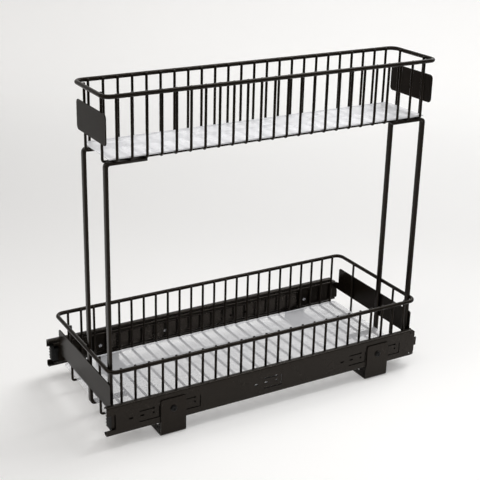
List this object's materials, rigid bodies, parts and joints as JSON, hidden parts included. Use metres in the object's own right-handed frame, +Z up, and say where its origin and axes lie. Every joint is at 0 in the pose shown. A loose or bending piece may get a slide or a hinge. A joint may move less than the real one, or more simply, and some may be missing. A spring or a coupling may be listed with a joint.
{
  "type": "pull out cabinet basket",
  "caption": "Two-tier wire basket on full-extension ball-bearing slides that pulls out of a base cabinet; a narrow upper basket stands on flat bars over a wide lower one.",
  "frame": {"origin": "on the cabinet floor, at the middle of the unit's footprint, with the carriage closed", "axes": "+X is the way the basket pulls out, +Z is up, and the narrow upper basket is flush with the -Y side"},
  "size_m": [0.5426, 0.2452, 0.501],
  "materials": {
    "black_coat": "satin black powder coat",
    "black_rail": "satin black coated rolled steel",
    "black_screw": "black oxide",
    "bright_steel": "polished steel",
    "cage_steel": "zinc plated",
    "milky_liner": "translucent milky sheet, slightly glossy",
    "black_plastic": "moulded black plastic"
  },
  "bodies": {
    "base": {"near_outer_rail": "black_rail", "far_outer_rail": "black_rail", "near_rear_bracket": "black_coat", "near_front_bracket": "black_coat", "far_rear_bracket": "black_coat", "far_front_bracket": "black_coat", "bracket_screws": "black_screw"},
    "near_middle_slide": {"near_middle_rail": "black_rail", "near_rear_stop": "black_plastic"},
    "far_middle_slide": {"far_middle_rail": "black_rail", "far_rear_stop": "black_plastic"},
    "near_outer_bearing": {"near_outer_cage": "cage_steel", "near_outer_balls": "bright_steel"},
    "far_outer_bearing": {"far_outer_cage": "cage_steel", "far_outer_balls": "bright_steel"},
    "near_inner_bearing": {"near_inner_cage": "cage_steel", "near_inner_balls": "bright_steel"},
    "far_inner_bearing": {"far_inner_cage": "cage_steel", "far_inner_balls": "bright_steel"},
    "carriage": {"near_inner_rail": "black_rail", "far_inner_rail": "black_rail", "flange_screws": "bright_steel", "lower_rim": "black_coat", "lower_cross_wires": "black_coat", "lower_end_wires": "black_coat", "lower_liner": "milky_liner", "upper_rim": "black_coat", "upper_cross_wires": "black_coat", "upper_end_wires": "black_coat", "upper_liner": "milky_liner", "front_lower_plate": "black_coat", "rear_lower_plate": "black_coat", "front_upper_plate": "black_coat", "rear_upper_plate": "black_coat", "near_front_upright": "black_coat", "near_rear_upright": "black_coat", "far_front_upright": "black_coat", "far_rear_upright": "black_coat"}
  },
  "joints": [
    {"name": "pull_out", "type": "slide", "parent": "base", "child": "carriage", "axis": [1, 0, 0], "range_m": [0, 0.533]},
    {"name": "near_middle_slide_travel", "type": "slide", "parent": "base", "child": "near_middle_slide", "axis": [1, 0, 0], "range_m": [0, 0.267]},
    {"name": "near_outer_bearing_travel", "type": "slide", "parent": "base", "child": "near_outer_bearing", "axis": [1, 0, 0], "range_m": [0, 0.134]},
    {"name": "near_inner_bearing_travel", "type": "slide", "parent": "base", "child": "near_inner_bearing", "axis": [1, 0, 0], "range_m": [0, 0.4]},
    {"name": "far_middle_slide_travel", "type": "slide", "parent": "base", "child": "far_middle_slide", "axis": [1, 0, 0], "range_m": [0, 0.267]},
    {"name": "far_outer_bearing_travel", "type": "slide", "parent": "base", "child": "far_outer_bearing", "axis": [1, 0, 0], "range_m": [0, 0.134]},
    {"name": "far_inner_bearing_travel", "type": "slide", "parent": "base", "child": "far_inner_bearing", "axis": [1, 0, 0], "range_m": [0, 0.4]}
  ],
  "couplings": [
    {"joint": "near_middle_slide_travel", "follows": "pull_out", "ratio": 0.5},
    {"joint": "near_outer_bearing_travel", "follows": "pull_out", "ratio": 0.25},
    {"joint": "near_inner_bearing_travel", "follows": "pull_out", "ratio": 0.75},
    {"joint": "far_middle_slide_travel", "follows": "pull_out", "ratio": 0.5},
    {"joint": "far_outer_bearing_travel", "follows": "pull_out", "ratio": 0.25},
    {"joint": "far_inner_bearing_travel", "follows": "pull_out", "ratio": 0.75}
  ]
}
